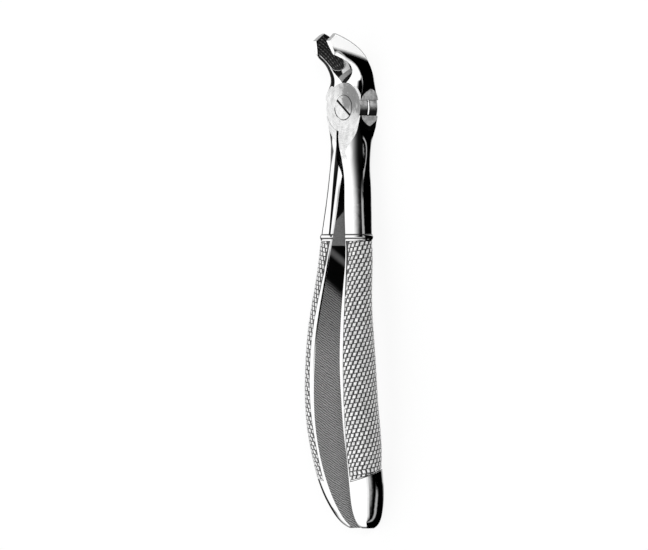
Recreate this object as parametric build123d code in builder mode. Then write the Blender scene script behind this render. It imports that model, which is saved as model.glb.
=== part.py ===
"""Extraction forceps for lower molars: two forged halves that turn on one slotted joint screw.

Frame: X is across the handles, +Y points from the joint to the beaks, +Z is up through the screw head.
The origin lies on the joint's back face, on the hinge axis. The beaks are shown closed.
"""
import os
from math import cos, hypot, radians, sin
from typing import NamedTuple

from build123d import *

# Lap joint
JOINT_THICKNESS = 7.9
LAP_HEIGHT = JOINT_THICKNESS / 2
LAP_GAP = 0.04
DISC_RADIUS = 8.2
DISC_CLEARANCE = 0.1
HALF_WIDTH = 8.45
BEAK_SHOULDER = 2.4
HANDLE_SHOULDER = 2.8
MEETING_GAP = 0.12
DISC_CHAMFER = 0.3

# How far the ground front and back flats reach along the tool
FLAT_TOP = 8.6
FLAT_BOTTOM = 16.4
SIDE_FACET_REACH = 9.0

# Long enough for a cut to pass right through the forceps, and the depth of a grinding pass
TOOL_REACH = 20.0
GRIND_DEPTH = 10.0

# Room below the disc of one half for the other half's tail, as corners of its outline. The first
# value of each is the offset towards the first half's own handle.
TAIL_ROOM = [
    (3.3, -7.6), (3.5, -17.0), (0.6, -21.5), (0.4, -23.5), (-12.0, -23.5), (-12.0, -2.0), (3.3, -2.0)
]

# Joint screw
HEAD_RADIUS = 4.15
HEAD_HEIGHT = 1.6
HEAD_CHAMFER = 0.18
SHANK_RADIUS = 2.6
THREAD_RADIUS = 2.2
SCREW_CLEARANCE = 0.04
BACK_FLOOR = 0.9
SLOT_WIDTH = 0.8
SLOT_DEPTH = 0.8
SLOT_ANGLE = -38.6

# Bead ring above the grip, as distances from the hinge axis
BEAD_TOP = 42.2
BEAD_WIDTH = 1.8
BEAD_HEIGHT = 0.35
BEAD_INSET = 0.3
BEAD_EASE = 0.05

# Grip: a shallow recess round the outside of each handle, which the knurl fills. A smooth rim is
# left beside the flat inside, widest at RIM_MIDDLE. The recess ends on a plane that leans with the
# handle: it lies further down the tool towards the front and nearer the joint at the crown.
GRIP_TOP = 44.4
GRIP_END = 123.7
GRIP_END_RISE = 0.31
GRIP_END_SPREAD = -0.2
GRIP_DEPTH = 0.3
GRIP_LAST_STATION = 130.0
RIM_LEAST = 0.6
RIM_EXTRA = 1.3
RIM_MIDDLE = 79.0
RIM_REACH = 30.0


class Handle(NamedTuple):
    """One cross-section of a handle: flat inside, two straight flanks, and a rounded outside."""

    place: float  # distance from the hinge axis
    inner: float  # offset of the flat inside from the middle plane
    centre: float  # height of the section's middle above the lap plane
    width: float  # size across the flat inside
    flank: float  # length of the straight flanks
    depth: float  # from the flat inside to the crown of the outside
    roundness: float  # 1 is a half ellipse, smaller is squarer


HANDLE = [
    Handle(HANDLE_SHOULDER, -4.0, 0.0, 9.6, 8.4, 13.1, 0.55),
    Handle(10.8, -2.5, 0.2, 8.0, 1.6, 10.9, 0.7),
    Handle(17.4, -1.1, 0.7, 6.54, 0.8, 9.8, 0.85),
    Handle(24.0, 0.75, 1.0, 7.1, 1.2, 7.75, 0.7),
    Handle(31.0, 1.5, 1.4, 7.5, 1.3, 7.6, 0.7),
    Handle(42.0, 2.9, 2.35, 7.5, 1.4, 7.6, 0.75),
    Handle(52.0, 4.05, 3.0, 8.4, 1.6, 7.6, 0.9),
    Handle(62.0, 4.65, 4.2, 9.5, 1.9, 7.8, 1.0),
    Handle(73.0, 5.45, 5.1, 11.2, 2.3, 7.8, 1.0),
    Handle(84.0, 6.05, 5.2, 12.8, 2.4, 7.7, 1.0),
    Handle(95.0, 6.6, 4.95, 13.3, 2.4, 7.5, 1.0),
    Handle(106.0, 6.9, 3.9, 13.4, 2.1, 7.4, 1.0),
    Handle(117.0, 6.4, 2.2, 12.9, 1.7, 7.1, 1.0),
    Handle(128.0, 4.8, -0.5, 12.5, 1.4, 7.1, 1.0),
    Handle(134.5, 3.3, -2.5, 11.2, 1.1, 6.2, 1.0),
    Handle(138.3, 2.5, -3.8, 8.4, 0.9, 4.8, 1.0),
    Handle(140.2, 2.2, -4.5, 4.6, 0.6, 2.6, 1.0),
]
HANDLE_CHAMFER = 0.4


class Beak(NamedTuple):
    """One cross-section of a beak. Pairs hold the value at its back edge and at its front edge."""

    back: tuple  # back edge: height above the lap plane, and distance from the hinge axis
    front: tuple  # front edge, likewise
    inner: tuple  # offset of the inside from the middle plane
    flank: tuple  # offset where the straight flanks end
    crown: float  # offset of the crown of the outside
    roundness: float


BEAK = [
    Beak((-4.8, BEAK_SHOULDER), (4.6, BEAK_SHOULDER), (-0.4, -0.4), (5.4, 5.4), 9.2, 0.55),
    Beak((-4.5, 6.1), (4.1, 6.5), (-0.4, -0.4), (4.8, 4.7), 8.4, 0.6),
    Beak((-3.8, 9.6), (3.4, 9.2), (0.3, 1.9), (5.5, 5.4), 7.8, 0.6),
    Beak((-2.5, 13.4), (4.0, 11.6), (1.6, 4.3), (6.1, 6.2), 7.6, 0.65),
    Beak((-0.4, 17.6), (6.0, 14.0), (2.4, 5.4), (5.5, 6.2), 7.2, 0.8),
    Beak((3.2, 20.9), (9.0, 15.8), (2.6, 5.2), (4.8, 5.7), 6.5, 0.9),
    Beak((7.2, 23.2), (10.9, 16.8), (2.4, 4.5), (3.8, 4.9), 5.6, 1.0),
    Beak((10.5, 24.5), (12.1, 17.3), (2.1, 3.8), (3.0, 4.2), 4.8, 1.0),
    Beak((13.2, 25.8), (15.9, 18.0), (1.8, 3.2), (2.6, 3.5), 4.1, 1.0),
]
BEAK_CHAMFER = 0.15
TIP_UPPER = (10.5, 24.5)
TIP_POINT = (13.9, 21.9)
TIP_LOWER = (12.1, 17.3)
TIP_CLEAR = 32.0


def section(plane, side, centre, width, inner, flank, crown, roundness, chamfer):
    """Section of a lever on one side (1 or -1) of the middle plane: slanted flat inside, domed outside.

    inner and flank are pairs, for the lower (back) and the upper (front) edge.
    """
    half = width / 2
    slant = (flank[1] - flank[0]) / 2
    reach = crown - (flank[0] + flank[1]) / 2

    def at(offset, height):
        return (side * offset, centre + height)

    def dome(angle):
        out = cos(radians(angle)) ** roundness
        up = sin(radians(abs(angle))) ** roundness * (1 if angle > 0 else -1)
        return at(crown - reach + reach * out + slant * up, half * up)

    with BuildSketch(plane) as outline:
        with BuildLine():
            Polyline(
                at(flank[1], half),
                at(inner[1] + chamfer, half),
                at(inner[1], half - chamfer),
                at(inner[0], chamfer - half),
                at(inner[0] + chamfer, -half),
                at(flank[0], -half),
            )
            ThreePointArc(at(flank[0], -half), dome(-60), dome(-30))
            ThreePointArc(dome(-30), at(crown, 0), dome(30))
            ThreePointArc(dome(30), dome(60), at(flank[1], half))
        make_face()
    return outline.sketch


def handle_section(side, s):
    """Section of one handle, on the plane across the tool that its place names."""
    plane = Plane(origin=(0, -s.place, LAP_HEIGHT), x_dir=(1, 0, 0), z_dir=(0, -1, 0))
    inner = (s.inner, s.inner)
    flank = (s.inner + s.flank, s.inner + s.flank)
    crown = s.inner + s.depth
    return section(
        plane, side, s.centre, s.width, inner, flank, crown, s.roundness, HANDLE_CHAMFER
    )


def handle_sections(side):
    """Sections of one handle from its shoulder at the joint to its rounded end."""
    return [handle_section(side, station) for station in HANDLE]


def handle_at(place):
    """Handle section at any distance from the hinge axis, between the two nearest stations."""
    upper = max((s for s in HANDLE if s.place <= place), key=lambda s: s.place)
    lower = min((s for s in HANDLE if s.place > place), key=lambda s: s.place)
    share = (place - upper.place) / (lower.place - upper.place)
    return Handle(*(a + share * (b - a) for a, b in zip(upper, lower)))


def bead_sections(side):
    """Three sections of the raised ring that ends the grip towards the joint."""
    sections = []
    for share, growth in ((0.0, BEAD_EASE), (0.5, BEAD_HEIGHT), (1.0, BEAD_EASE)):
        plain = handle_at(BEAD_TOP + share * BEAD_WIDTH)
        grown = plain._replace(
            inner=plain.inner + BEAD_INSET,
            width=plain.width + 2 * growth,
            depth=plain.depth - BEAD_INSET + growth,
        )
        sections.append(handle_section(side, grown))
    return sections


def rim_width(place):
    """Width of the smooth rim between the flat inside and the grip recess."""
    return RIM_LEAST + RIM_EXTRA * max(0, 1 - ((place - RIM_MIDDLE) / RIM_REACH) ** 2)


def beyond_rim(side, s):
    """Everything outside the rim at one place of a handle: a rectangle that reaches past the tool."""
    start = s.inner + rim_width(s.place)
    plane = Plane(origin=(0, -s.place, LAP_HEIGHT), x_dir=(1, 0, 0), z_dir=(0, -1, 0))
    with BuildSketch(plane) as outline:
        with Locations((side * (start + TOOL_REACH / 2), s.centre)):
            Rectangle(TOOL_REACH, TOOL_REACH)
    return outline.sketch


def grip_core(side, s):
    """Section of a handle under its knurl."""
    return handle_section(
        side, s._replace(width=s.width - 2 * GRIP_DEPTH, depth=s.depth - GRIP_DEPTH)
    )


def grip_recess(side):
    """Shell that is milled off the outside of one handle to take the knurl."""
    stations = [handle_at(GRIP_TOP)]
    stations += [s for s in HANDLE if GRIP_TOP < s.place < GRIP_LAST_STATION]
    end = Plane(
        origin=(0, -GRIP_END, LAP_HEIGHT), z_dir=(-side * GRIP_END_SPREAD, -1, -GRIP_END_RISE)
    )
    with BuildPart() as recess:
        loft([beyond_rim(side, s) for s in stations])
        loft([grip_core(side, s) for s in stations], mode=Mode.SUBTRACT)
        split(bisect_by=end, keep=Keep.BOTTOM)
    return recess.part


def beak_sections(side):
    """Sections of one beak from its shoulder at the joint to beyond its tip."""
    sections = []
    for s in BEAK:
        rise = s.front[0] - s.back[0]
        run = s.front[1] - s.back[1]
        width = hypot(rise, run)
        plane = Plane(
            origin=(0, s.back[1], LAP_HEIGHT + s.back[0]),
            x_dir=(1, 0, 0),
            z_dir=(0, -rise / width, run / width),
        )
        sections.append(
            section(
                plane, side, width / 2, width, s.inner, s.flank, s.crown, s.roundness, BEAK_CHAMFER
            )
        )
    return sections


def tip_cutter():
    """Side outline of what is ground away to leave the pointed tip."""

    def beyond(end, share):
        height = end[0] + share * (end[0] - TIP_POINT[0])
        place = end[1] + share * (end[1] - TIP_POINT[1])
        return (place, LAP_HEIGHT + height)

    with BuildSketch(Plane.YZ) as outline:
        with BuildLine():
            Polyline(
                beyond(TIP_UPPER, 0.5),
                (TIP_POINT[1], LAP_HEIGHT + TIP_POINT[0]),
                beyond(TIP_LOWER, 0.5),
                (TIP_LOWER[0], TIP_CLEAR),
                (TIP_CLEAR, TIP_CLEAR),
                (TIP_CLEAR, TIP_LOWER[0]),
                close=True,
            )
        make_face()
    return outline.sketch


def layer_clearance(base, side):
    """Room for the other half's disc and for its tail, which crosses the middle plane."""
    with BuildSketch(Plane.XY.offset(base)) as outline:
        Circle(DISC_RADIUS + DISC_CLEARANCE)
        with BuildLine():
            Polyline([(side * offset, place) for offset, place in TAIL_ROOM], close=True)
        make_face()
    return outline.sketch


def trim_at_middle(side):
    """Cut the beak being built back to the face where its root meets the other beak's root."""
    size = 3 * TOOL_REACH
    with Locations((side * (MEETING_GAP - size) / 2, 0, 0)):
        Box(size, size, size, mode=Mode.SUBTRACT)


def grind_flats():
    """Grind the joint's front, back and sides flat on the part being built."""
    length = FLAT_TOP + FLAT_BOTTOM
    middle = (FLAT_TOP - FLAT_BOTTOM) / 2
    out = GRIND_DEPTH / 2
    with Locations((0, middle, JOINT_THICKNESS + out), (0, middle, -out)):
        Box(2 * TOOL_REACH, length, GRIND_DEPTH, mode=Mode.SUBTRACT)
    with Locations((-HALF_WIDTH - out, 0, LAP_HEIGHT), (HALF_WIDTH + out, 0, LAP_HEIGHT)):
        Box(GRIND_DEPTH, 2 * SIDE_FACET_REACH, 2 * TOOL_REACH, mode=Mode.SUBTRACT)


front_base = LAP_HEIGHT + LAP_GAP / 2
front_recess = grip_recess(1)
with BuildPart() as front_half:
    loft(beak_sections(-1))
    trim_at_middle(-1)
    loft(handle_sections(1))
    loft(bead_sections(1))
    add(front_recess, mode=Mode.SUBTRACT)
    extrude(tip_cutter(), amount=TOOL_REACH, both=True, mode=Mode.SUBTRACT)
    grind_flats()
    extrude(layer_clearance(front_base, 1), amount=-TOOL_REACH, mode=Mode.SUBTRACT)
    with BuildSketch(Plane.XY.offset(JOINT_THICKNESS)):
        Circle(DISC_RADIUS)
    extrude(amount=front_base + DISC_CHAMFER - JOINT_THICKNESS)
    with BuildSketch(Plane.XY.offset(front_base)):
        Circle(DISC_RADIUS - DISC_CHAMFER)
    extrude(amount=DISC_CHAMFER, taper=-45)
    with Locations((0, 0, JOINT_THICKNESS)):
        CounterBoreHole(
            radius=SHANK_RADIUS + SCREW_CLEARANCE,
            counter_bore_radius=HEAD_RADIUS + SCREW_CLEARANCE,
            counter_bore_depth=HEAD_HEIGHT + SCREW_CLEARANCE,
        )
    with BuildSketch(Plane.XY.offset(JOINT_THICKNESS)):
        Circle(HEAD_RADIUS + SCREW_CLEARANCE + HEAD_CHAMFER)
    extrude(amount=-HEAD_CHAMFER, taper=45, mode=Mode.SUBTRACT)
front_half.part.label = "front_half"

back_top = LAP_HEIGHT - LAP_GAP / 2
back_recess = grip_recess(-1)
with BuildPart() as back_half:
    loft(beak_sections(1))
    trim_at_middle(1)
    loft(handle_sections(-1))
    loft(bead_sections(-1))
    add(back_recess, mode=Mode.SUBTRACT)
    extrude(tip_cutter(), amount=TOOL_REACH, both=True, mode=Mode.SUBTRACT)
    grind_flats()
    extrude(layer_clearance(back_top, -1), amount=TOOL_REACH, mode=Mode.SUBTRACT)
    with BuildSketch(Plane.XY):
        Circle(DISC_RADIUS)
    extrude(amount=back_top - DISC_CHAMFER)
    with BuildSketch(Plane.XY.offset(back_top - DISC_CHAMFER)):
        Circle(DISC_RADIUS)
    extrude(amount=DISC_CHAMFER, taper=45)
    with Locations((0, 0, back_top)):
        Hole(radius=THREAD_RADIUS + SCREW_CLEARANCE / 2, depth=back_top - BACK_FLOOR)
back_half.part.label = "back_half"

with BuildPart() as joint_screw:
    with BuildSketch(Plane.XY.offset(JOINT_THICKNESS - HEAD_CHAMFER)):
        Circle(HEAD_RADIUS)
    extrude(amount=HEAD_CHAMFER - HEAD_HEIGHT)
    with BuildSketch(Plane.XY.offset(JOINT_THICKNESS - HEAD_CHAMFER)):
        Circle(HEAD_RADIUS)
    extrude(amount=HEAD_CHAMFER, taper=45)
    with BuildSketch(Plane.XY.offset(back_top)):
        Circle(SHANK_RADIUS)
    extrude(amount=JOINT_THICKNESS - HEAD_HEIGHT - back_top)
    with BuildSketch(Plane.XY.offset(BACK_FLOOR + SCREW_CLEARANCE)):
        Circle(THREAD_RADIUS)
    extrude(amount=LAP_HEIGHT - BACK_FLOOR)
    with BuildSketch(Plane.XY.offset(JOINT_THICKNESS)):
        Rectangle(3 * HEAD_RADIUS, SLOT_WIDTH, rotation=SLOT_ANGLE)
    extrude(amount=-SLOT_DEPTH, mode=Mode.SUBTRACT)
joint_screw.part.label = "joint_screw"

os.makedirs("parts", exist_ok=True)
export_step(front_half.part, "parts/front_half.step")
export_step(back_half.part, "parts/back_half.step")
export_step(joint_screw.part, "parts/joint_screw.step")
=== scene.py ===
"""Looks of a pair of extraction forceps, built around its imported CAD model.

The forged halves and the joint screw keep their CAD shape and get steel materials face by face.
Added here are the knurl and its border bead on each handle, and the fine serration and its border
line inside each beak. They follow the surface of the CAD nodes they sit on. Lengths below are in
millimetres unless a name says otherwise, and MM turns them into metres. The hinge axis is Z, the
beaks point to +Y and the handles to -Y.
"""

from math import cos, hypot, pi, radians, sin, sqrt

import bmesh
import bpy
from mathutils import Matrix, Vector
from mathutils.bvhtree import BVHTree


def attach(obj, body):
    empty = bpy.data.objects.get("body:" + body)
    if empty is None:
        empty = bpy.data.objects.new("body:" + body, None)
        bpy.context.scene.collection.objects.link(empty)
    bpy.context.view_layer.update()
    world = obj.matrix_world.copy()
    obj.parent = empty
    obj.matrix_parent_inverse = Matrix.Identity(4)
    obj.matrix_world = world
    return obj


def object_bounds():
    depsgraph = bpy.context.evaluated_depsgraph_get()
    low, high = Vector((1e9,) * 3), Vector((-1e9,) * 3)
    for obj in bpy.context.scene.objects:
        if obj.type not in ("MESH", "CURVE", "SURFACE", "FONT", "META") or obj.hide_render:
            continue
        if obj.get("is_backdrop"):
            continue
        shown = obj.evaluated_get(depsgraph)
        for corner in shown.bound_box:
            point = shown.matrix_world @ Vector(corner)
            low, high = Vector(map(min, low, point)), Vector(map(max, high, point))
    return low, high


MM = 0.001

# Joint, as the CAD has it: its back is at Z = 0
JOINT_THICKNESS = 7.9
LAP_HEIGHT = JOINT_THICKNESS / 2

# Camera: where it looks from, in X and Z, and how far its middle is from the hinge axis
VIEW_X = 0.731
VIEW_Z = 0.682
VIEW_LEFT = 9.3
VIEW_DOWN = 55.77
VIEW_METRES = 2.4
LENS = 400

# Grip: the recess that the CAD leaves in each handle. Its places are distances from the hinge
# axis, and its end leans by RISE per unit of height and SPREAD per unit away from the middle.
# The smooth rim beside it is widest at RIM_MIDDLE.
GRIP_TOP = 44.4
GRIP_MIDDLE = 84.0
GRIP_END = 123.7
GRIP_END_RISE = 0.31
GRIP_END_SPREAD = -0.2
RIM_LEAST = 0.6
RIM_EXTRA = 1.3
RIM_MIDDLE = 79.0
RIM_REACH = 30.0
RIM_SLACK = 0.3

# Dome: how the rounded outside of a handle is sampled, and a point (X, Z) well inside a handle
DOME_PAST_TOP = 2
DOME_PAST_END = 5
SECTION_REACH = 5
RAYS_HALF_TURN = 120
NORMAL_STEP = 0.3
EDGE_ON = 0.2
HANDLE_CORE = (4, 8)

# Knurl: staggered rows of raised bricks, as steps in (round the handle, down the handle).
# Each ring of a brick is (length, width, rise, lean), from its foot to its top.
BRICK_STEP = (1.6, -0.26)
ROW_STEP = (0.08, 1.38)
BRICK_LEAN = 0.3
BRICK_RINGS = (
    (1.0, 1.0, 0.0, 0.0),
    (0.78, 0.9, 0.1, BRICK_LEAN),
    (0.54, 0.78, 0.8, BRICK_LEAN),
    (0.34, 0.6, 1.0, BRICK_LEAN),
)
BRICK_OUTLINE = ((-0.5, -0.5), (0.0, -0.5), (0.5, -0.5), (0.5, 0.5), (0.0, 0.5), (-0.5, 0.5))
BRICKS_ASIDE = 9
KNURL_MADE = (GRIP_TOP - 2, GRIP_END + 4)
KNURL_HEIGHT = 0.27
KNURL_GAP = 0.2
KNURL_END_GAP = 0.75

# Raised panels: height of their lowest parts above the steel, and their depth under it
PANEL_FLOOR = 0.04
PANEL_DEPTH = 0.25

# Border bead at the slanted end of the grip: (place off the end line, rise)
BEAD_PROFILE = ((-0.62, 0.0), (-0.5, 0.75), (-0.36, 1.0), (-0.22, 0.75), (-0.12, 0.0))
BEAD_HEIGHT = 0.3
BEAD_PARTS = 60

# Serration inside the beaks: points are (height above the lap plane, distance from the hinge axis)
SERRATION_START = (1.6, 12.6)
SERRATION_BEND = (4.2, 18.4)
SERRATION_TIP = (12.9, 21.5)
SERRATION_END_RADIUS = 2.25
SERRATION_TIP_WIDTH = 3.2
SERRATION_PITCH = 1.05
RIDGE_PARTS = 4
RIDGE_RISE = 0.8
RIDGE_BREAK = 1.7
RIDGE_BREAK_DEPTH = 0.25
RIDGE_STAGGER = 3.0
SERRATION_HEIGHT = 0.14
SERRATION_BORDER = 0.3
SERRATION_ROWS = 44
SERRATION_FIRST = 0.004
SERRATION_CROWDING = 1.3
PATH_PARTS = 200
TIP_UPPER = (10.5, 24.5)
TIP_POINT = (13.9, 21.9)
TIP_LOWER = (12.1, 17.3)

# Border line of the serration: (distance out in border widths, rise), and how far up it runs
LINE_PROFILE = ((-0.5, 0.0), (-0.2, 1.0), (0.2, 1.0), (0.5, 0.0))
LINE_HEIGHT = 0.16
LINE_END = 0.78
LINE_SPOTS = 40
LINE_CROWDING = 1.5

# Faces of the CAD halves, told apart by place and normal. FLAT is the least share of a normal
# along an axis for a face that is square to that axis.
FLAT = 0.99
FACE_SLACK = 0.02
FACET_SLACK = 0.03
LAP_REACH = 8.25
BORE_REACH = 4.3
FACET_OFFSET = 8.45
FACET_END = 9.2
LOWER_FACET = (-7.5, -2.55)
LOWER_FACET_OFFSET = 7.0
SHOULDER_OFFSET = 7.7
SHOULDER_REACH = 2.7
TURNED_END = -17
HATCHED_START = -2.8
HATCHED_OFFSET = 7.2
INSIDE_START = 8
INSIDE_OFFSET = 5.6

# Finish of the side facets: a satin patch that is widest at its start
FACET_START = 2.4
FACET_LENGTH = 3.9
FACET_HALF_WIDTH = 3.9
FACET_LEVEL = LAP_HEIGHT - 0.25
FACET_LEAN = 0.8

# Finish of the turned faces: direction of the dark fan painted in as a reflection, and how soft
# its end is
FAN_ANGLE = radians(38)
FAN_FADE = 0.8

# Finish of the shoulders: the parting line with a painted highlight along it, and the dark lines
# beside it, by distance from the lap plane
PARTING_LINE = (0.32, 0.25)
PARTING_GROOVE = (0.45, 0.65)

# Finish of the inside of the beaks, in painted light and shade: the grey step, and the round end
# of the bright rim
STEP_LEVEL = 11.5
STEP_SLOPE = 0.66
BEAK_RIM_CENTRE = (2.66, 12.9)
BEAK_RIM_RADIUS = (3.95, 3.7)
BEAK_RIM_HEIGHT = (1.7, 1.3)

# Finish inside the handles: edges are (rise along Y per unit of Z, Y where Z is 0)
# Painted light and shade: a dark reflection, a pale streak in it, and shadow near the joint
HATCH_SLOPE = 0.55
HATCH_PITCH = 0.8
HATCH_WANDER = 1.2
HATCH_EDGE = (0.69, -65.6)
HATCH_LIGHTENS = (-58.0, -88.0)
STREAK_EDGE = (0.57, -53.7)
STREAK_WIDTH = (2.0, 0.2)
PLAIN_EDGE = (-0.98, -28.9)
PLAIN_END = (-46.1, -45.9)

# Polished finish: painted shadow lines beside the grip's bead ring, as (distance from the hinge
# axis, half width). Here and below, other pairs are (where it starts, where it is complete), along
# Y or across the view, and EDGES and WIDTHS are the values at both ends of a WIDENS pair.
BEAD_SHADOW_LINES = ((42.35, 0.3), (43.6, 0.32))
# Painted highlight on the beak's tip, and painted dark outlines at the tip and the handle's end
BRIGHT_TIP = (13.9, 16.3)
BRIGHT_TIP_LEAN = 0.27
OUTLINED_END = (-124.0, -126.0)
END_LINE = (-139.4, -139.8)
NECK_START = (-2.0, -2.7)

# Front half, painted dark reflections: a dark veil over the root of the neck, and the dark,
# bowed brink of the beak
VEIL_EDGES = (0.2, 1.2)
VEIL_WIDENS = (-15.0, -26.0)
VEIL_FADES = (-33.0, -21.0)
VEIL_LEFT = (-1.6, 2.6)
VEIL_RIGHT = (3.9, 3.4)
BRINK_MIDDLE = 8.6
BRINK_OFFSET = 6.6
BRINK_BOW = 0.075
BRINK_WIDTH = (1.0, 0.65)
BRINK_FOOT = (3.5, 6.0)
BRINK_TOP = (18.5, 15.5)

# Back half, painted dark reflections: a dark band down the neck, and the dark, bowed outside of
# its root
BAND_OFFSET = 3.2
BAND_LEAN = 0.1
BAND_WIDTHS = (0.3, 0.75)
BAND_WIDENS = (-44.0, -15.0)
BAND_END = (-43.0, -42.0)
BAND_SOFTNESS = (1.15, 0.75)
ROOT_MIDDLE = 14.5
ROOT_BOW = 0.17
ROOT_EDGE = (-5.9, -6.4)
ROOT_FOOT = (-24.0, -20.0)
ROOT_TOP = (-5.0, -7.0)

# Studio, as (angle, level) stops round the tool's length: 0 degrees is towards the camera, 90 to
# its right. A height is the share of a direction along Y. A lean is (most degrees, height at which
# it bends over), and LEFT_LEAN is in degrees per unit of height.
LEFT_LEAN = 35
LEFT_PANELS = ((-180, 0.6), (-176, 0.03), (-148, 0.02), (-140, 1.0), (180, 1.0))
UPPER_LEAN = (45, 0.14)
LOWER_LEAN = (45, 0.2)
DARK_FLAG = (
    (-180, 1.0), (-26, 1.0), (-11, 0.69), (6, 0.21), (14, 0.03), (21, 0.0), (180, 0.0),
)
STREAK = ((-180, 0.0), (27, 0.0), (33, 0.38), (42, 0.38), (48, 0.0), (180, 0.0))
END_STREAK = ((-180, 0.0), (78, 0.0), (84, 0.36), (92, 0.36), (98, 0.0), (180, 0.0))
FAR_EDGE = ((-180, 0.0), (131, 0.0), (142, 0.5), (180, 0.7))
FAR_EDGE_RISES = (-0.15, 0.0)
END_STREAK_BELOW = (-0.3, -0.45)
OVERHEAD = (0.55, 0.7)
OVERHEAD_TILT = 0.008
UNDERFOOT = (-0.6, -0.8)
UNDERFOOT_TILT = 0.004
MIRRORED_STRENGTH = 1.15
KEY_STRENGTH = 1.6
KEY_SPREAD = radians(25)
KEY_DIRECTION = (VIEW_X, 0.25, VIEW_Z)

# Floor: its size, its gap under the tool, and where the handles rest, short of their ends
FLOOR_METRES = 4.0
FLOOR_GAP = 0.2
REST_SHORT = 2.0
FLOOR_GLOW = 0.85


# ---------------------------------------------------------------- node helpers


class Value:
    """One output of a node tree. Arithmetic on it adds math nodes."""

    def __init__(self, nodes, socket):
        self.nodes = nodes
        self.socket = socket

    def math(self, operation, other=0.0):
        return self.nodes.math(operation, self, other)

    def __add__(self, other):
        return self.math("ADD", other)

    def __sub__(self, other):
        return self.math("SUBTRACT", other)

    def __rsub__(self, other):
        return self.nodes.math("SUBTRACT", other, self)

    def __mul__(self, other):
        return self.math("MULTIPLY", other)

    def __truediv__(self, other):
        return self.math("DIVIDE", other)

    def __pow__(self, other):
        return self.math("POWER", other)

    def __abs__(self):
        return self.math("ABSOLUTE")

    def at_least(self, other):
        return self.math("MAXIMUM", other)

    def at_most(self, other):
        return self.math("MINIMUM", other)

    def ramp(self, stops):
        """Grey levels over 0 to 1, from (position, level) pairs."""
        made = self.nodes.add("ShaderNodeValToRGB", {"Fac": self})
        elements = made.color_ramp.elements
        while len(elements) < len(stops):
            elements.new(0.5)
        for element, (position, level) in zip(elements, stops):
            element.position = position
            element.color = (level, level, level, 1)
        return Value(self.nodes, made.outputs["Color"])

    def between(self, low, high):
        """A 0 to 1 value spread over low to high."""
        inputs = {"Value": self, "To Min": low, "To Max": high}
        return self.nodes.get("Result", "ShaderNodeMapRange", inputs)

    def smooth(self, start, end, low=0.0, high=1.0):
        """low before start, high after end, and an even turn between."""
        inputs = {"Value": self, "From Min": start, "From Max": end, "To Min": low, "To Max": high}
        return self.nodes.get(
            "Result", "ShaderNodeMapRange", inputs, interpolation_type="SMOOTHSTEP"
        )


class Nodes:
    """Short names for building one node tree."""

    def __init__(self, tree):
        self.tree = tree
        self.tree.nodes.clear()

    def add(self, kind, inputs=None, **settings):
        """A new node, with numbers or Values for its inputs, by name or position."""
        made = self.tree.nodes.new(kind)
        for name, value in settings.items():
            setattr(made, name, value)
        for name, value in (inputs or {}).items():
            if isinstance(value, Value):
                self.tree.links.new(value.socket, made.inputs[name])
            else:
                made.inputs[name].default_value = value
        return made

    def get(self, output, kind, inputs=None, **settings):
        """One output of a new node."""
        return Value(self, self.add(kind, inputs, **settings).outputs[output])

    def math(self, operation, a, b):
        return self.get(0, "ShaderNodeMath", {0: a, 1: b}, operation=operation)

    def dot(self, a, b):
        return self.get("Value", "ShaderNodeVectorMath", {0: a, 1: b}, operation="DOT_PRODUCT")

    def noise(self, vector, scale, detail=3.0, roughness=0.5, distortion=0.0):
        inputs = {
            "Vector": vector,
            "Scale": scale,
            "Detail": detail,
            "Roughness": roughness,
            "Distortion": distortion,
        }
        return self.get("Fac", "ShaderNodeTexNoise", inputs)

    def millimetres(self, stretch=(1, 1, 1)):
        """Object coordinates in millimetres, stretched per axis."""
        place = self.get("Object", "ShaderNodeTexCoord")
        scale = [share / MM for share in stretch]
        return self.get("Vector", "ShaderNodeMapping", {"Vector": place, "Scale": scale})

    def place(self):
        """Object coordinates in millimetres, one by one."""
        made = self.add("ShaderNodeSeparateXYZ", {"Vector": self.millimetres()})
        return [Value(self, made.outputs[axis]) for axis in "XYZ"]

    def rise(self):
        """Height that the mesh carries at each point of a raised panel, 0 to 1."""
        return self.get("Fac", "ShaderNodeAttribute", attribute_name="rise")

    def rounded_edges(self, radius):
        """Normals that run smoothly round an arris, as on a polished forging."""
        return self.get("Normal", "ShaderNodeBevel", {"Radius": radius * MM}, samples=6)

    def bump(self, height, depth, edge_radius=None):
        """A bump whose height runs from 0 to depth, in millimetres, with rounded edges or not."""
        inputs = {"Strength": 1.0, "Distance": depth * MM, "Height": height}
        if edge_radius is not None:
            inputs["Normal"] = self.rounded_edges(edge_radius)
        return self.get("Normal", "ShaderNodeBump", inputs)


# ---------------------------------------------------------------- steels


def steel(name, look, *values):
    """A metal. look(nodes, *values) gives the inputs of its surface."""
    material = bpy.data.materials.new(name)
    material.use_nodes = True
    nodes = Nodes(material.node_tree)
    inputs = {"Metallic": 1.0, **look(nodes, *values)}
    surface = nodes.get("BSDF", "ShaderNodeBsdfPrincipled", inputs)
    nodes.add("ShaderNodeOutputMaterial", {"Surface": surface})
    return material


def across_view(place):
    """Distance to the right of the hinge axis, as the camera sees it."""
    x, y, z = place
    return x * VIEW_Z - (z - LAP_HEIGHT) * VIEW_X


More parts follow.
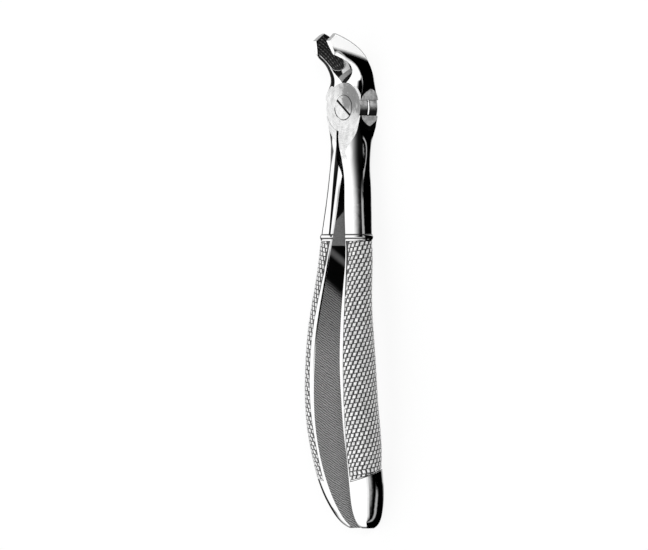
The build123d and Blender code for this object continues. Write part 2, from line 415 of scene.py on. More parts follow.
def front_shade(nodes, place):
    """Painted dark reflections on the front half, 0 to 1: the root of its neck, and the brink of
    its beak.
    """
    y = place[1]
    across = across_view(place)
    edge = y.smooth(*VEIL_WIDENS, *VEIL_EDGES)
    # Painted dark reflection: a veil across the root of the neck
    veil = (across - edge).smooth(*VEIL_LEFT) * across.smooth(*VEIL_RIGHT) * y.smooth(*VEIL_FADES)
    flat = abs(nodes.dot(nodes.get("Normal", "ShaderNodeNewGeometry"), (0, 0, 1)))
    veil = veil * y.smooth(*NECK_START) * flat.smooth(1.0, 0.97)
    # Painted dark reflection: a bowed dark brink along the back of the beak
    brink = across + (y - BRINK_MIDDLE) ** 2.0 * BRINK_BOW + BRINK_OFFSET
    brink = brink.smooth(*BRINK_WIDTH) * y.smooth(*BRINK_FOOT) * y.smooth(*BRINK_TOP)
    return veil.at_least(brink)


def back_shade(nodes, place):
    """Painted dark reflections on the back half, 0 to 1: a band down its neck, and the outside of
    its root.
    """
    y = place[1]
    across = across_view(place)
    # Painted dark reflection: a band down the neck
    off = abs(across - y * BAND_LEAN + BAND_OFFSET)
    band = off / y.smooth(*BAND_WIDENS, *BAND_WIDTHS)
    band = band.smooth(*BAND_SOFTNESS) * y.smooth(*BAND_END)
    # Painted dark reflection: the bowed outside of the neck's root
    outer = (across + abs(y + ROOT_MIDDLE) * ROOT_BOW).smooth(*ROOT_EDGE)
    outer = outer * y.smooth(*ROOT_FOOT) * y.smooth(*ROOT_TOP)
    return band.at_least(outer) * y.smooth(*NECK_START)


def polished_look(nodes, shade_of):
    """Mirror-polished steel: faint polishing lines along the tool, hairline scratches, soft wear.

    shade_of(nodes, place) tells how dark a place is painted, as dark reflection. The grip's bead
    ring gets a painted shadow line on each side. The beak's tip is painted pale as a highlight, and
    it and the handle's end get a painted dark outline.
    """
    along = nodes.noise(nodes.millimetres((5, 0.25, 5)), 1.0, 4.0)
    cloud = nodes.noise(nodes.millimetres(), 0.22, 3.0)
    scratch = nodes.noise(nodes.millimetres((9, 0.6, 2)), 1.3, 5.0, 0.7, 0.4)
    rough = cloud.between(0.04, 0.1) + scratch.ramp(((0.62, 0), (0.72, 1))) * 0.08
    place = nodes.place()
    _, y, z = place
    # Painted dark reflections by place, and painted shadow lines beside the bead ring
    clear = 1.0 - shade_of(nodes, place)
    for dark_foot, width in BEAD_SHADOW_LINES:
        clear = clear * abs(y + dark_foot).smooth(width, 0.6 * width, 1.0, 0.35)
    # Painted highlight: the beak's tip turns pale and less metallic; it and the handle's end get a
    # painted dark outline where the surface turns away from the eye
    tip = (y - z * BRIGHT_TIP_LEAN).smooth(*BRIGHT_TIP)
    facing = nodes.get("Facing", "ShaderNodeLayerWeight", {"Blend": 0.5})
    outline = tip.at_least(y.smooth(*OUTLINED_END)) * facing.smooth(0.46, 0.72)
    shade = along.between(0.88, 0.94) * (clear ** 2.2).between(0.003, 1.0)
    shade = shade * outline.smooth(0.0, 1.0, 1.0, 0.12) * y.smooth(*END_LINE, 1.0, 0.1)
    return {
        "Metallic": tip.smooth(0.0, 1.0, 1.0, 0.05),
        "Base Color": shade,
        "Roughness": rough.at_least(tip * 0.35),
        "Normal": nodes.bump(along + scratch * 0.5, 0.0012, 0.12),
    }


def turned_look(nodes, light, dark, reach):
    """Flat faces finished on a wheel: fine rings round the hinge axis, and a dark fan painted in as
    their reflection.

    reach is the radius at which the fan ends.
    """
    x, y, _ = nodes.place()
    radius = (x ** 2.0 + y ** 2.0).math("SQRT")
    around = y.math("ARCTAN2", x)
    ring_place = nodes.get("Vector", "ShaderNodeCombineXYZ", {"X": radius, "Y": around})
    rings = nodes.noise(ring_place, 3.2, 4.0, 0.65)
    cloud = nodes.noise(nodes.millimetres((0.7, 0.25, 1)), 1.0, 4.0, 0.6)
    mixed = (rings * 0.5 + cloud * 0.5).smooth(0.34, 0.66)
    # Painted dark reflection: a fan across the turned face, out to the radius reach
    fan = (around - FAN_ANGLE).math("COSINE") + mixed.between(-0.45, 0.45)
    fan = fan.smooth(0.0, 1.0) * radius.smooth(reach, reach - FAN_FADE)
    return {
        "Metallic": 0.8,
        "Base Color": mixed.between(dark, light) * fan.smooth(0.0, 1.0, 1.0, 0.3),
        "Roughness": mixed.between(0.24, 0.4),
        "Anisotropic": 0.6,
        "Tangent": nodes.get("Tangent", "ShaderNodeTangent", direction_type="RADIAL", axis="Z"),
        "Normal": nodes.bump(rings, 0.004, 0.1),
    }


def satin(nodes):
    """Even, fine-grained satin: its level, its roughness and its grain."""
    grain = nodes.noise(nodes.millimetres((6, 6, 6)), 1.0, 4.0, 0.7)
    cloud = nodes.noise(nodes.millimetres(), 0.6, 3.0)
    mixed = ((grain + cloud) * 0.5).smooth(0.35, 0.65)
    return mixed.between(0.16, 0.52), grain.between(0.42, 0.6), grain


def satin_look(nodes):
    """Satin lines, as round the serration."""
    level, rough, grain = satin(nodes)
    return {
        "Metallic": 0.25,
        "Base Color": level * 1.5,
        "Roughness": rough,
        "Normal": nodes.bump(grain, 0.01, 0.1),
    }


def facet_look(nodes):
    """The joint's side facets: a satin patch that narrows away from the joint, painted dark round
    it as reflection.
    """
    level, rough, grain = satin(nodes)
    _, y, z = nodes.place()
    run = (abs(y) - FACET_START) / FACET_LENGTH
    off = abs(z - FACET_LEVEL + run * FACET_LEAN)
    patch = (off / FACET_HALF_WIDTH + run.at_least(0.0) ** 2.0).smooth(1.04, 0.98)
    return {
        # Painted dark reflection round the satin patch
        "Metallic": patch.smooth(0.0, 1.0, 1.0, 0.25),
        "Base Color": level * patch.smooth(0.0, 1.0, 0.03, 1.0),
        "Roughness": rough,
        "Normal": nodes.bump(grain, 0.01, 0.1),
    }


def shoulder_look(nodes):
    """The band between the facets: satin, painted dark at the handles' side as shade, and the
    parting line with a painted highlight.
    """
    level, rough, grain = satin(nodes)
    _, y, z = nodes.place()
    off = abs(z - LAP_HEIGHT)
    ragged = y + grain.between(-0.8, 0.8)
    # Painted shade: the band darkens towards the handles' side
    level = level * ragged.smooth(-1.3, 1.4, 0.02, 0.9) * off.smooth(*PARTING_GROOVE)
    return {
        "Metallic": 0.0,
        "Specular IOR Level": 0.1,
        # Painted highlight along the parting line
        "Base Color": level.at_least(off.smooth(*PARTING_LINE, 0.0, 0.95)),
        "Roughness": rough,
        "Normal": nodes.bump(grain, 0.006),
    }


def hatched_look(nodes):
    """Inside faces of the handles: slanted grinding marks, lighter away from the joint as painted
    shade; a painted black reflection above them with one painted pale streak; and plain satin
    nearest the joint, painted dark as shadow closest to the joint.
    """
    _, y, z = nodes.place()

    def above(slope, level):
        """Distance above a line that rises by slope along Y for every unit of Z."""
        return y - z * slope - level

    wander = nodes.noise(nodes.millimetres((0.5, 0.5, 0.5)), 1.0, 3.0)
    line = above(HATCH_SLOPE, 0.0) + wander * HATCH_WANDER
    wave = (line * (2 * pi / HATCH_PITCH)).math("SINE") * 0.5 + 0.5
    grain = nodes.noise(nodes.millimetres((1, 1.6, 1.6)), 1.2, 4.0, 0.7)
    mixed = wave * 0.55 + grain * 0.45
    # Painted shade: the marks get lighter away from the joint
    hatch = mixed.between(-0.1, 0.76) * y.smooth(*HATCH_LIGHTENS, 0.6, 1.0)
    # Painted dark reflection above the marks, with one painted pale streak
    hatch = hatch * above(*HATCH_EDGE).smooth(1.6, -2.6)
    hatch = hatch.at_least(abs(above(*STREAK_EDGE)).smooth(*STREAK_WIDTH, 0.0, 0.14))
    # Painted shadow: the plain satin turns dark closest to the joint
    plain = grain.between(0.05, 0.45) * above(*PLAIN_EDGE).smooth(0.5, -0.3)
    upper = y.smooth(*PLAIN_END)
    return {
        "Metallic": 0.35,
        "Base Color": plain * upper + hatch * (1.0 - upper),
        "Roughness": grain.between(0.38, 0.52),
        "Normal": nodes.bump(mixed, 0.03, 0.1),
    }


def beak_inside_look(nodes):
    """Plain inside of the beaks, in painted light and shade: a bright rim, black below the
    serration, a grey step.
    """
    _, y, z = nodes.place()
    height = z - LAP_HEIGHT
    grain = nodes.noise(nodes.millimetres(), 1.5, 4.0, 0.6)
    centre_height, centre_y = BEAK_RIM_CENTRE
    off_centre = ((height - centre_height) ** 2.0 + (y - centre_y) ** 2.0).math("SQRT")
    step = y - STEP_LEVEL + height * STEP_SLOPE
    # Painted highlight on the rim, painted shade elsewhere, and a painted grey band along the step
    bright = step.smooth(0.6, 0.9) * height.smooth(*BEAK_RIM_HEIGHT)
    bright = bright * off_centre.smooth(*BEAK_RIM_RADIUS)
    band = abs(step).smooth(0.85, 0.65, 0.0, 0.4) * grain.between(0.5, 1.3)
    return {
        "Metallic": 0.0,
        "Specular IOR Level": 0.1,
        "Base Color": bright.at_least(band).at_least(0.006),
        "Roughness": grain.between(0.3, 0.5),
        "Normal": nodes.bump(grain, 0.004),
    }


def knurl_look(nodes):
    """Knurl: bright brick tops, darker towards the groove floors."""
    grain = nodes.noise(nodes.millimetres(), 2.0, 4.0, 0.6)
    cloud = nodes.noise(nodes.millimetres(), 0.75, 3.0, 0.7)
    level = nodes.rise() + grain.between(-0.35, 0.35)
    dark_foot = level.ramp(((0.08, 0.03), (0.5, 0.3), (0.9, 0.95)))
    return {
        "Metallic": 0.3,
        "Base Color": (dark_foot * cloud.between(0.1, 1.5)).at_most(0.95),
        "Roughness": grain.between(0.28, 0.42),
        "Normal": nodes.bump(grain, 0.01),
    }


def serrated_look(nodes):
    """Rough, dark inside of the beaks, lighter towards the tops of the ridges."""
    grain = nodes.noise(nodes.millimetres(), 1.1, 4.0, 0.7)
    level = nodes.rise() + grain.between(-0.45, 0.45)
    return {
        "Metallic": 0.4,
        "Base Color": level.ramp(((0.25, 0.01), (0.6, 0.08), (0.95, 0.55))),
        "Roughness": grain.between(0.35, 0.55),
        "Normal": nodes.bump(grain, 0.012),
    }


def shadowed_look(nodes):
    """Bore walls, the slot and the faces the two halves hide: dark and matt, painted as shade."""
    grain = nodes.noise(nodes.millimetres(), 2.5, 3.0)
    return {
        "Base Color": grain.between(0.06, 0.2),
        "Roughness": grain.between(0.4, 0.6),
        "Normal": nodes.bump(grain, 0.006),
    }


# ---------------------------------------------------------------- faces of the CAD nodes


def lever_finish(side, dome):
    """Tells the finish of a face of one half from its middle and its normal.

    side is 1 for the half whose handle is at +X and whose beak is at -X.
    """

    def finish(middle, normal):
        x, y, z = (value / MM for value in middle)
        level = abs(normal.z) > FLAT
        outer = z > JOINT_THICKNESS - FACE_SLACK or z < FACE_SLACK
        if dome.holds(x, y, z):
            return "hidden"
        if abs(x) > FACET_OFFSET - FACET_SLACK and abs(normal.x) > FLAT and abs(y) < FACET_END:
            return "facet"
        lower = side > 0 and x > LOWER_FACET_OFFSET and LOWER_FACET[0] < y < LOWER_FACET[1]
        if lower and normal.x > 0.2 and abs(normal.z) < 0.5:
            return "facet"
        if abs(x) > SHOULDER_OFFSET and abs(y) < SHOULDER_REACH and abs(normal.x) > 0.6:
            return "shoulder"
        if level and outer and y > TURNED_END:
            return "turned"
        if y < HATCHED_START and side * normal.x < -0.9 and side * x < HATCHED_OFFSET:
            return "hatched"
        beak = y > INSIDE_START and abs(x) < INSIDE_OFFSET
        if beak and side * normal.x > 0.45 and normal.z < 0.62:
            return "inside"
        if hypot(x, y) < LAP_REACH and level:
            return "hidden"
        if hypot(x, y) < BORE_REACH and abs(normal.z) < 0.1:
            return "hidden"
        return "polished"

    return finish


def screw_finish(middle, normal):
    """The screw's head is turned, its slot and shank are painted dark as shade."""
    top = middle.z / MM > JOINT_THICKNESS - FACE_SLACK
    return "head" if top and normal.z > 0.9 else "hidden"


def dress(node, materials, finish):
    """Give every face of a CAD node the material of its finish."""
    mesh = node.data
    mesh.materials.clear()
    for material in materials.values():
        mesh.materials.append(material)
    names = list(materials)
    for face in mesh.polygons:
        face.material_index = names.index(finish(face.center, face.normal))


# ---------------------------------------------------------------- surface of a handle


def surface_of(node):
    """Ray-castable surface of a CAD node, and its points."""
    points = [vertex.co / MM for vertex in node.data.vertices]
    faces = [tuple(face.vertices) for face in node.data.polygons]
    return BVHTree.FromPolygons(points, faces), points


def cast(tree, start, direction):
    """Where a ray first meets the surface."""
    hit = tree.ray_cast(Vector(start), Vector(direction).normalized())[0]
    if hit is None:
        raise RuntimeError(f"no surface from {start} towards {direction}")
    return hit


def rim_width(place):
    """Width of the smooth rim beside the recess, as the CAD leaves it."""
    return RIM_LEAST + RIM_EXTRA * max(0, 1 - ((place - RIM_MIDDLE) / RIM_REACH) ** 2)


class Dome:
    """Rounded outside of one handle, by arc length from its crown line and by place.

    place is the distance from the hinge axis. Arc length is negative towards the front rim.
    """

    STEP = 1.0
    SAMPLES = 72

    def __init__(self, node, side):
        self.side = side
        self.tree, self.points = surface_of(node)
        self.first = GRIP_TOP - DOME_PAST_TOP
        count = int((GRIP_END + DOME_PAST_END - self.first) / self.STEP) + 2
        self.rows = [self.row(self.first + i * self.STEP) for i in range(count)]

    def row(self, place):
        """Arc length of the dome from rim to rim, points along it, and the inner face's X."""
        near = [p for p in self.points if abs(p.y + place) < SECTION_REACH]
        middle = sum(near, Vector()) / len(near)
        start = (middle.x, -place, middle.z)
        inner = abs(cast(self.tree, start, (-self.side, 0, 0)).x)
        rim = inner + rim_width(place) + KNURL_GAP
        outline = []
        for step in range(2 * RAYS_HALF_TURN + 1):
            angle = radians(RAYS_HALF_TURN - step)
            hit = cast(self.tree, start, (self.side * cos(angle), 0, sin(angle)))
            if abs(hit.x) >= rim:
                outline.append(hit)
        lengths = [0.0]
        for a, b in zip(outline, outline[1:]):
            lengths.append(lengths[-1] + (b - a).length)
        spaced = []
        k = 0
        for i in range(self.SAMPLES + 1):
            wanted = lengths[-1] * i / self.SAMPLES
            while k < len(lengths) - 2 and lengths[k + 1] < wanted:
                k += 1
            share = (wanted - lengths[k]) / (lengths[k + 1] - lengths[k])
            spaced.append(outline[k].lerp(outline[k + 1], share))
        return lengths[-1], spaced, inner

    def row_below(self, place):
        """Index of the last row before a place, and how far on the place is, in rows."""
        t = (place - self.first) / self.STEP
        i = min(max(int(t), 0), len(self.rows) - 2)
        return i, t - i

    def around(self, place):
        """Arc length of the dome at any place."""
        i, on = self.row_below(place)
        return self.rows[i][0] + on * (self.rows[i + 1][0] - self.rows[i][0])

    def on_row(self, i, share):
        """Point on one row, at a share of its arc length."""
        t = min(max(share, 0.0), 1.0) * self.SAMPLES
        k = min(int(t), self.SAMPLES - 1)
        return self.rows[i][1][k].lerp(self.rows[i][1][k + 1], t - k)

    def at(self, arc, place):
        """Point on the dome."""
        i, on = self.row_below(place)
        share = 0.5 + arc / self.around(place)
        return self.on_row(i, share).lerp(self.on_row(i + 1, share), on)

    def normal(self, arc, place):
        """Direction straight out of the dome."""
        across = self.at(arc + NORMAL_STEP, place) - self.at(arc - NORMAL_STEP, place)
        along = self.at(arc, place + NORMAL_STEP) - self.at(arc, place - NORMAL_STEP)
        out = across.cross(along).normalized()
        return out if out.x * self.side > 0 or abs(out.x) < EDGE_ON else -out

    def lifted(self, arc, place, rise):
        """Point at a height above the dome."""
        out = self.normal(arc, place)
        point = self.at(arc, place)
        core_x, core_z = HANDLE_CORE
        aside, above = point.x - self.side * core_x, point.z - core_z
        outward = aside * out.x + 0.2 * above * out.z
        return point + out * rise * (1 if outward > 0 else -1)

    def holds(self, x, y, z):
        """Whether a point on the handle's outside lies in the grip's recess."""
        past_end = -y - GRIP_END_RISE * (z - LAP_HEIGHT) - GRIP_END_SPREAD * abs(x) > GRIP_END
        if -y < GRIP_TOP - 0.05 or past_end or x * self.side < 0:
            return False
        inner = self.rows[min(int((-y - self.first) / self.STEP), len(self.rows) - 1)][2]
        return abs(x) > inner + rim_width(-y) + RIM_SLACK

    def end_place(self, arc):
        """Place of the slanted line that ends the grip, at this arc length."""
        place = GRIP_END
        for _ in range(4):
            point = self.at(arc, place)
            height = point.z - LAP_HEIGHT
            place = GRIP_END + GRIP_END_RISE * height + GRIP_END_SPREAD * abs(point.x)
        return place


# ---------------------------------------------------------------- raised panels


def clip(polygon, inside):
    """The part of a polygon of (arc, place, rise) points where inside(point) is not negative."""
    kept = []
    for a, b in zip(polygon, polygon[1:] + polygon[:1]):
        fa, fb = inside(a), inside(b)
        if fa >= 0:
            kept.append(a)
        if (fa < 0) != (fb < 0):
            share = fa / (fa - fb)
            kept.append(tuple(p + share * (q - p) for p, q in zip(a, b)))
    return kept


def cut(faces, limits):
    """Faces cut back to where no limit is negative."""
    kept = []
    for face in faces:
        for limit in limits:
            face = clip(face, limit) if len(face) > 2 else []
        if len(face) > 2:
            kept.append(face)
    return kept


def strips(rows):
    """Four-sided faces between rows of points."""
    return [
        [low[k], low[k + 1], high[k + 1], high[k]]
        for low, high in zip(rows, rows[1:])
        for k in range(len(low) - 1)
    ]


def closed_panel(name, faces, lift, height):
    """A closed mesh from faces in (arc, place, rise): a raised top and a floor under the surface.

    lift(arc, place, offset) gives the point at an offset from the surface.
    """
    index = {}
    top, under, rises = [], [], []

    def vertex(point):
        key = (round(point[0], 4), round(point[1], 4))
        if key not in index:
            index[key] = len(top)
            arc, place, rise = point
            top.append(lift(arc, place, PANEL_FLOOR + rise * height))
            under.append(lift(arc, place, -PANEL_DEPTH))
            rises.append(rise)
        return index[key]

    polygons = []
    for face in faces:
        ids = [vertex(p) for p in face]
        ids = [v for k, v in enumerate(ids) if v != ids[k - 1]]
        if len(ids) > 2:
            polygons.append(ids)
    edges = {(a, b) for ids in polygons for a, b in zip(ids, ids[1:] + ids[:1])}
    count = len(top)
    walls = [(b, a, a + count, b + count) for a, b in sorted(edges) if (b, a) not in edges]
    floors = [[v + count for v in reversed(ids)] for ids in polygons]
    mesh = bpy.data.meshes.new(name)
    mesh.from_pydata([p * MM for p in top + under], [], polygons + walls + floors)
    mesh.validate()
    rise = mesh.attributes.new("rise", "FLOAT", "POINT")
    rise.data.foreach_set("value", rises + [0.0] * count)
    face_outwards(mesh)
    made = bpy.data.objects.new(name, mesh)
    bpy.context.scene.collection.objects.link(made)
    return made


def face_outwards(mesh):
    """Make every normal of a closed mesh point out."""
    work = bmesh.new()
    work.from_mesh(mesh)
    bmesh.ops.recalc_face_normals(work, faces=work.faces)
    work.to_mesh(mesh)
    work.free()


def add_panels(body, lift, panels):
    """Raised panels that ride on one lever, from (kind, faces, height, material)."""
    for kind, faces, height, material in panels:
        piece = closed_panel(body.replace("lever", kind), faces, lift, height)
        piece.data.materials.append(material)
        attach(piece, body)


# ---------------------------------------------------------------- grip


def brick(p, row):
    """Faces of one raised brick of the knurl, in (arc, place, rise)."""
    (ax, ay), (bx, by) = BRICK_STEP, ROW_STEP
    cx, cy = p * ax + row * bx, GRIP_MIDDLE + p * ay + row * by
    rings = []
    for length, width, rise, lean in BRICK_RINGS:
        corners = [(length * u - lean * width * v, width * v) for u, v in BRICK_OUTLINE]
        rings.append([(cx + u * ax + v * bx, cy + u * ay + v * by, rise) for u, v in corners])
    return [rings[-1]] + strips([ring + ring[:1] for ring in rings])


def knurl_faces(dome):
    """All faces of the knurl on one dome, cut off at the rims and at both ends of the grip."""

    def to_rim(point):
        return dome.around(point[1]) / 2 - abs(point[0])

    def to_top(point):
        return point[1] - GRIP_TOP - KNURL_GAP

    def to_end(point):
        return dome.end_place(point[0]) - KNURL_END_GAP - point[1]

    def near(face):
        return all(KNURL_MADE[0] < point[1] < KNURL_MADE[1] for point in face)

    faces = []
    rows = int((GRIP_END - GRIP_TOP) / ROW_STEP[1] / 2) + 3
    for row in range(-rows, rows + 1):
        for step in range(-BRICKS_ASIDE, BRICKS_ASIDE + 1):
            faces += brick(step + 0.5 * (row % 2), row)
    return cut(filter(near, faces), (to_rim, to_top, to_end))


def bead_faces(dome):
    """The bead along the slanted end of the grip, in (arc, place, rise)."""
    arcs = [(k / BEAD_PARTS - 0.5) * dome.around(GRIP_END) for k in range(BEAD_PARTS + 1)]
    return strips([
        [(arc, dome.end_place(arc) + off, rise) for arc in arcs] for off, rise in BEAD_PROFILE
    ])


# ---------------------------------------------------------------- serration


class BeakInside:
    """Inside of one beak, by distance across and along the middle line of its serration."""

    def __init__(self, node, side):
        self.side = side
        self.tree = surface_of(node)[0]
        self.path = [self.bend(i / PATH_PARTS) for i in range(PATH_PARTS + 1)]
        self.lengths = [0.0]
        for a, b in zip(self.path, self.path[1:]):
            self.lengths.append(self.lengths[-1] + hypot(b[0] - a[0], b[1] - a[1]))

    @staticmethod
    def bend(t):
        """Point on the curved middle line, as (height, place)."""
        corners = (SERRATION_START, SERRATION_BEND, SERRATION_TIP)
        weights = ((1 - t) ** 2, 2 * t * (1 - t), t * t)
        return tuple(sum(w * c[k] for w, c in zip(weights, corners)) for k in (0, 1))

    def half_width(self, along):
        """Half the width of the serration: round at its lower end, spreading to the tip."""
        spread = along / self.lengths[-1] * (SERRATION_TIP_WIDTH - SERRATION_END_RADIUS)
        back = max(SERRATION_END_RADIUS - along, 0.0)
        return sqrt(max(SERRATION_END_RADIUS**2 - back**2, 0.0)) + spread

    def outline_at(self, across, along):
        """(height, place) at a distance across the middle line; positive is towards the front."""
        k = 0
        while k < len(self.lengths) - 2 and self.lengths[k + 1] < along:
            k += 1
        (ax, ay), (bx, by) = self.path[k], self.path[k + 1]
        span = self.lengths[k + 1] - self.lengths[k]
        share = (along - self.lengths[k]) / span
        dx, dy = (bx - ax) / span, (by - ay) / span
        return ax + share * (bx - ax) + across * dy, ay + share * (by - ay) - across * dx

    def lifted(self, across, along, offset):
        """Point at an offset from the inside, towards the other beak."""
        height, place = self.outline_at(across, along)
        start = (0.0, place, LAP_HEIGHT + height)
        hit = cast(self.tree, start, (-self.side, 0, 0))
        return hit + Vector((self.side * offset, 0, 0))

    def to_edge(self, a, b):
        """A limit: distance inside the tip's edge from a to b, less the border."""
        run, fall = b[0] - a[0], b[1] - a[1]
        length = hypot(run, fall)

        def limit(point):
            height, place = self.outline_at(point[0], point[1])
            return ((height - a[0]) * fall - (place - a[1]) * run) / length - SERRATION_BORDER

        return limit


def serration_faces(inside):
    """Ridges along one beak, with a plain border, in (across, along, rise)."""
    length = inside.lengths[-1]
    ridges = int(2 * SERRATION_TIP_WIDTH / SERRATION_PITCH)
    columns = ridges * RIDGE_PARTS

    def rise(share, along):
        """Height of the ridges, which break up a little along the beak."""
        wave = 0.5 - 0.5 * cos(2 * pi * ridges * share)
        shift = RIDGE_STAGGER * round(ridges * share)
        gap = 1 - RIDGE_BREAK_DEPTH + RIDGE_BREAK_DEPTH * cos(2 * pi * along / RIDGE_BREAK + shift)
        return RIDGE_RISE * wave * gap

    rows = []
    for i in range(SERRATION_ROWS + 1):
        crowded = (i / SERRATION_ROWS) ** SERRATION_CROWDING
        along = length * (SERRATION_FIRST + (1 - SERRATION_FIRST) * crowded)
        half = inside.half_width(along) - SERRATION_BORDER
        start = SERRATION_BORDER if i == 0 else 0.0
        shares = [k / columns for k in range(columns + 1)]
        rows.append([((2 * s - 1) * half, along + start, rise(s, along)) for s in shares])
    limits = (inside.to_edge(TIP_UPPER, TIP_POINT), inside.to_edge(TIP_POINT, TIP_LOWER))
    return cut(strips(rows), limits)


def border_line_faces(inside):
    """A thin raised line round the serration's lower end and sides."""
    spots = []
    for i in range(LINE_SPOTS):
        along = LINE_END * inside.lengths[-1] * (1 - i / (LINE_SPOTS - 1)) ** LINE_CROWDING
        spots.append((inside.half_width(along), along))
    spots += [(-across, along) for across, along in reversed(spots[:-1])]
    rows = []
    for k, (across, along) in enumerate(spots):
        before, after = spots[max(k - 1, 0)], spots[min(k + 1, len(spots) - 1)]
        run, climb = after[0] - before[0], after[1] - before[1]
        reach = SERRATION_BORDER / hypot(run, climb)
        rows.append([
            (across + off * reach * climb, max(along - off * reach * run, 0.0), rise)
            for off, rise in LINE_PROFILE
        ])
    return strips(rows)


# ---------------------------------------------------------------- floor, light and camera


def panorama(angle, stops):
    """Studio levels by angle in degrees, from (angle, level) stops."""
    return (angle / 360.0 + 0.5).ramp([(degree / 360 + 0.5, level) for degree, level in stops])


def bend(height, reach, knee):
    """A lean in degrees that grows with height and bends over to its full reach."""
    return (height / knee).math("TANH") * reach


def studio_level(nodes):
    """What the steel mirrors: a bright studio with a dark flag, streaks and panels."""
    ray = nodes.get("Generated", "ShaderNodeTexCoord")
    right = nodes.dot(ray, (VIEW_Z, 0, -VIEW_X))
    up = nodes.dot(ray, (0, 1, 0))
    back = nodes.dot(ray, (VIEW_X, 0, VIEW_Z))
    angle = right.math("ARCTAN2", back) * (180 / pi)
    lean = bend(up.at_least(0.0), *UPPER_LEAN) + bend(up.at_most(0.0), *LOWER_LEAN)
    dark = panorama(angle + lean, DARK_FLAG)
    far = panorama(angle, FAR_EDGE) * up.smooth(*FAR_EDGE_RISES)
    end_streak = panorama(angle, END_STREAK) * up.smooth(*END_STREAK_BELOW)
    streak = panorama(angle, STREAK).at_least(end_streak)
    left = panorama(angle + up * LEFT_LEAN, LEFT_PANELS)
    round_tool = dark.at_least(streak).at_least(far) * left
    over = (up + (angle - 90) * OVERHEAD_TILT).smooth(*OVERHEAD)
    under = (up + (angle + 90) * UNDERFOOT_TILT).smooth(*UNDERFOOT)
    return round_tool.at_least(over + under).at_most(1.0)


def world_light():
    """A pale room for the eye, and the studio for what the steel mirrors."""
    world = bpy.data.worlds.new("studio")
    world.use_nodes = True
    bpy.context.scene.world = world
    nodes = Nodes(world.node_tree)

    def background(colour, strength):
        inputs = {"Color": colour, "Strength": strength}
        return nodes.get("Background", "ShaderNodeBackground", inputs)

    mirrored = background(studio_level(nodes), MIRRORED_STRENGTH)
    seen = background((1, 1, 1, 1), 1.0)
    straight = nodes.get("Is Camera Ray", "ShaderNodeLightPath")
    inputs = {"Fac": straight, 1: mirrored, 2: seen}
    room = nodes.get("Shader", "ShaderNodeMixShader", inputs)
    nodes.add("ShaderNodeOutputWorld", {"Surface": room})


def key_light():
    """A broad soft light from behind the camera, for the satin faces only."""
    data = bpy.data.lights.new("key", "SUN")
    data.energy = KEY_STRENGTH
    data.angle = KEY_SPREAD
    key = bpy.data.objects.new("key", data)
    key.rotation_mode = "QUATERNION"
    key.rotation_quaternion = Vector(KEY_DIRECTION).to_track_quat("Z", "Y")
    key.visible_glossy = False
    bpy.context.scene.collection.objects.link(key)


def pale_floor():
    """A matt white that mostly glows, so that only a faint shadow shows."""
    material = bpy.data.materials.new("pale_floor")
    material.use_nodes = True
    nodes = Nodes(material.node_tree)
    matt = nodes.get("BSDF", "ShaderNodeBsdfDiffuse", {"Color": (0.9, 0.9, 0.9, 1)})
    glow = nodes.get("Emission", "ShaderNodeEmission", {"Color": (1, 1, 1, 1), "Strength": 1.0})
    inputs = {"Fac": FLOOR_GLOW, 1: matt, 2: glow}
    mixed = nodes.get("Shader", "ShaderNodeMixShader", inputs)
    nodes.add("ShaderNodeOutputMaterial", {"Surface": mixed})
    return material


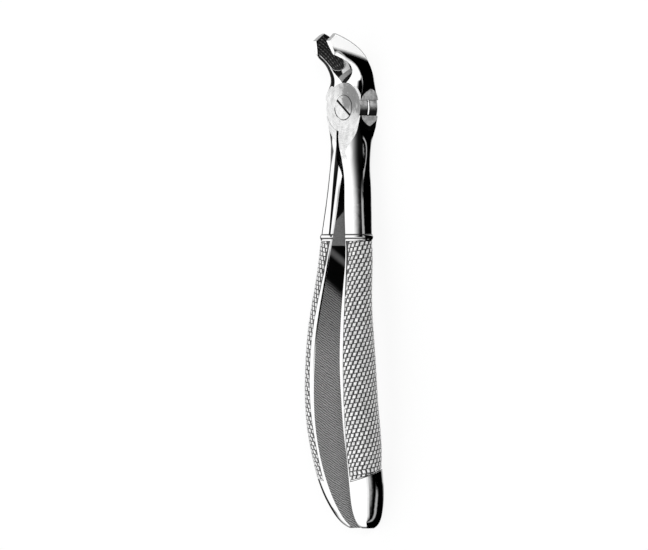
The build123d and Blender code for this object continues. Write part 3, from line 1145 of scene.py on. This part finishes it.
def floor():
    """A pale sheet under the forceps, which rest on the joint's back and on the handles' ends."""
    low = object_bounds()[0]
    fall = low.z / (low.y + REST_SHORT * MM)
    reach = FLOOR_METRES
    ground = ((-reach, -reach), (reach, -reach), (reach, reach), (-reach, reach))
    corners = [(x, y, y * fall - FLOOR_GAP * MM) for x, y in ground]
    mesh = bpy.data.meshes.new("floor")
    mesh.from_pydata(corners, [], [(0, 1, 2, 3)])
    mesh.materials.append(pale_floor())
    sheet = bpy.data.objects.new("floor", mesh)
    sheet.visible_glossy = False
    bpy.context.scene.collection.objects.link(sheet)
    sheet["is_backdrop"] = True


def camera():
    """A long lens from the front and the right, as in a catalogue plate."""
    right = Vector((VIEW_Z, 0, -VIEW_X))
    up = Vector((0, 1, 0))
    back = Vector((VIEW_X, 0, VIEW_Z))
    data = bpy.data.cameras.new("camera")
    data.lens = LENS
    data.sensor_width = 36
    data.clip_start = 0.1
    data.clip_end = 50
    eye = bpy.data.objects.new("camera", data)
    target = Vector((0, 0, LAP_HEIGHT * MM)) - right * VIEW_LEFT * MM - up * VIEW_DOWN * MM
    turn = Matrix((right, up, back)).transposed().to_4x4()
    eye.matrix_world = Matrix.Translation(target + back * VIEW_METRES) @ turn
    bpy.context.scene.collection.objects.link(eye)
    bpy.context.scene.camera = eye
    bpy.context.scene.view_settings.view_transform = "Standard"


# ---------------------------------------------------------------- the scene

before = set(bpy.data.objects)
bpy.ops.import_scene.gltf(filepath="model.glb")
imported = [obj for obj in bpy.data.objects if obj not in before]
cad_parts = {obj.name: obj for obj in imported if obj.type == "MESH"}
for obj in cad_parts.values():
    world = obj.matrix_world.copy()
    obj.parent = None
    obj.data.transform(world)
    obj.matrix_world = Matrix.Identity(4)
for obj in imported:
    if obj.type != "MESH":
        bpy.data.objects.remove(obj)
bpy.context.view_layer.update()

satin_lines = steel("satin_steel", satin_look)
serrated = steel("serrated_steel", serrated_look)
hidden = steel("shadowed_steel", shadowed_look)
knurl = steel("knurl_steel", knurl_look)
lever_materials = {
    "facet": steel("facet_steel", facet_look),
    "shoulder": steel("shoulder_steel", shoulder_look),
    "turned": steel("turned_steel", turned_look, 0.9, 0.52, 8.6),
    "hatched": steel("hatched_steel", hatched_look),
    "inside": steel("beak_inside_steel", beak_inside_look),
    "hidden": hidden,
}
screw_materials = {
    "head": steel("screw_head_steel", turned_look, 0.9, 0.58, 5.5),
    "hidden": hidden,
}
for name, side, shade_of in (("front", 1, front_shade), ("back", -1, back_shade)):
    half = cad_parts[name + "_half"]
    body, slot = name + "_lever", name + "_steel"
    dome = Dome(half, side)
    inside = BeakInside(half, side)
    polished = steel("polished_" + name, polished_look, shade_of)
    dress(half, {"polished": polished, **lever_materials}, lever_finish(side, dome))
    add_panels(body, dome.lifted, (
        ("knurl", knurl_faces(dome), KNURL_HEIGHT, knurl),
        ("grip_bead", bead_faces(dome), BEAD_HEIGHT, polished),
    ))
    add_panels(body, inside.lifted, (
        ("serration", serration_faces(inside), SERRATION_HEIGHT, serrated),
        ("serration_line", border_line_faces(inside), LINE_HEIGHT, satin_lines),
    ))
dress(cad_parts["joint_screw"], screw_materials, screw_finish)

key_light()
world_light()
floor()
camera()
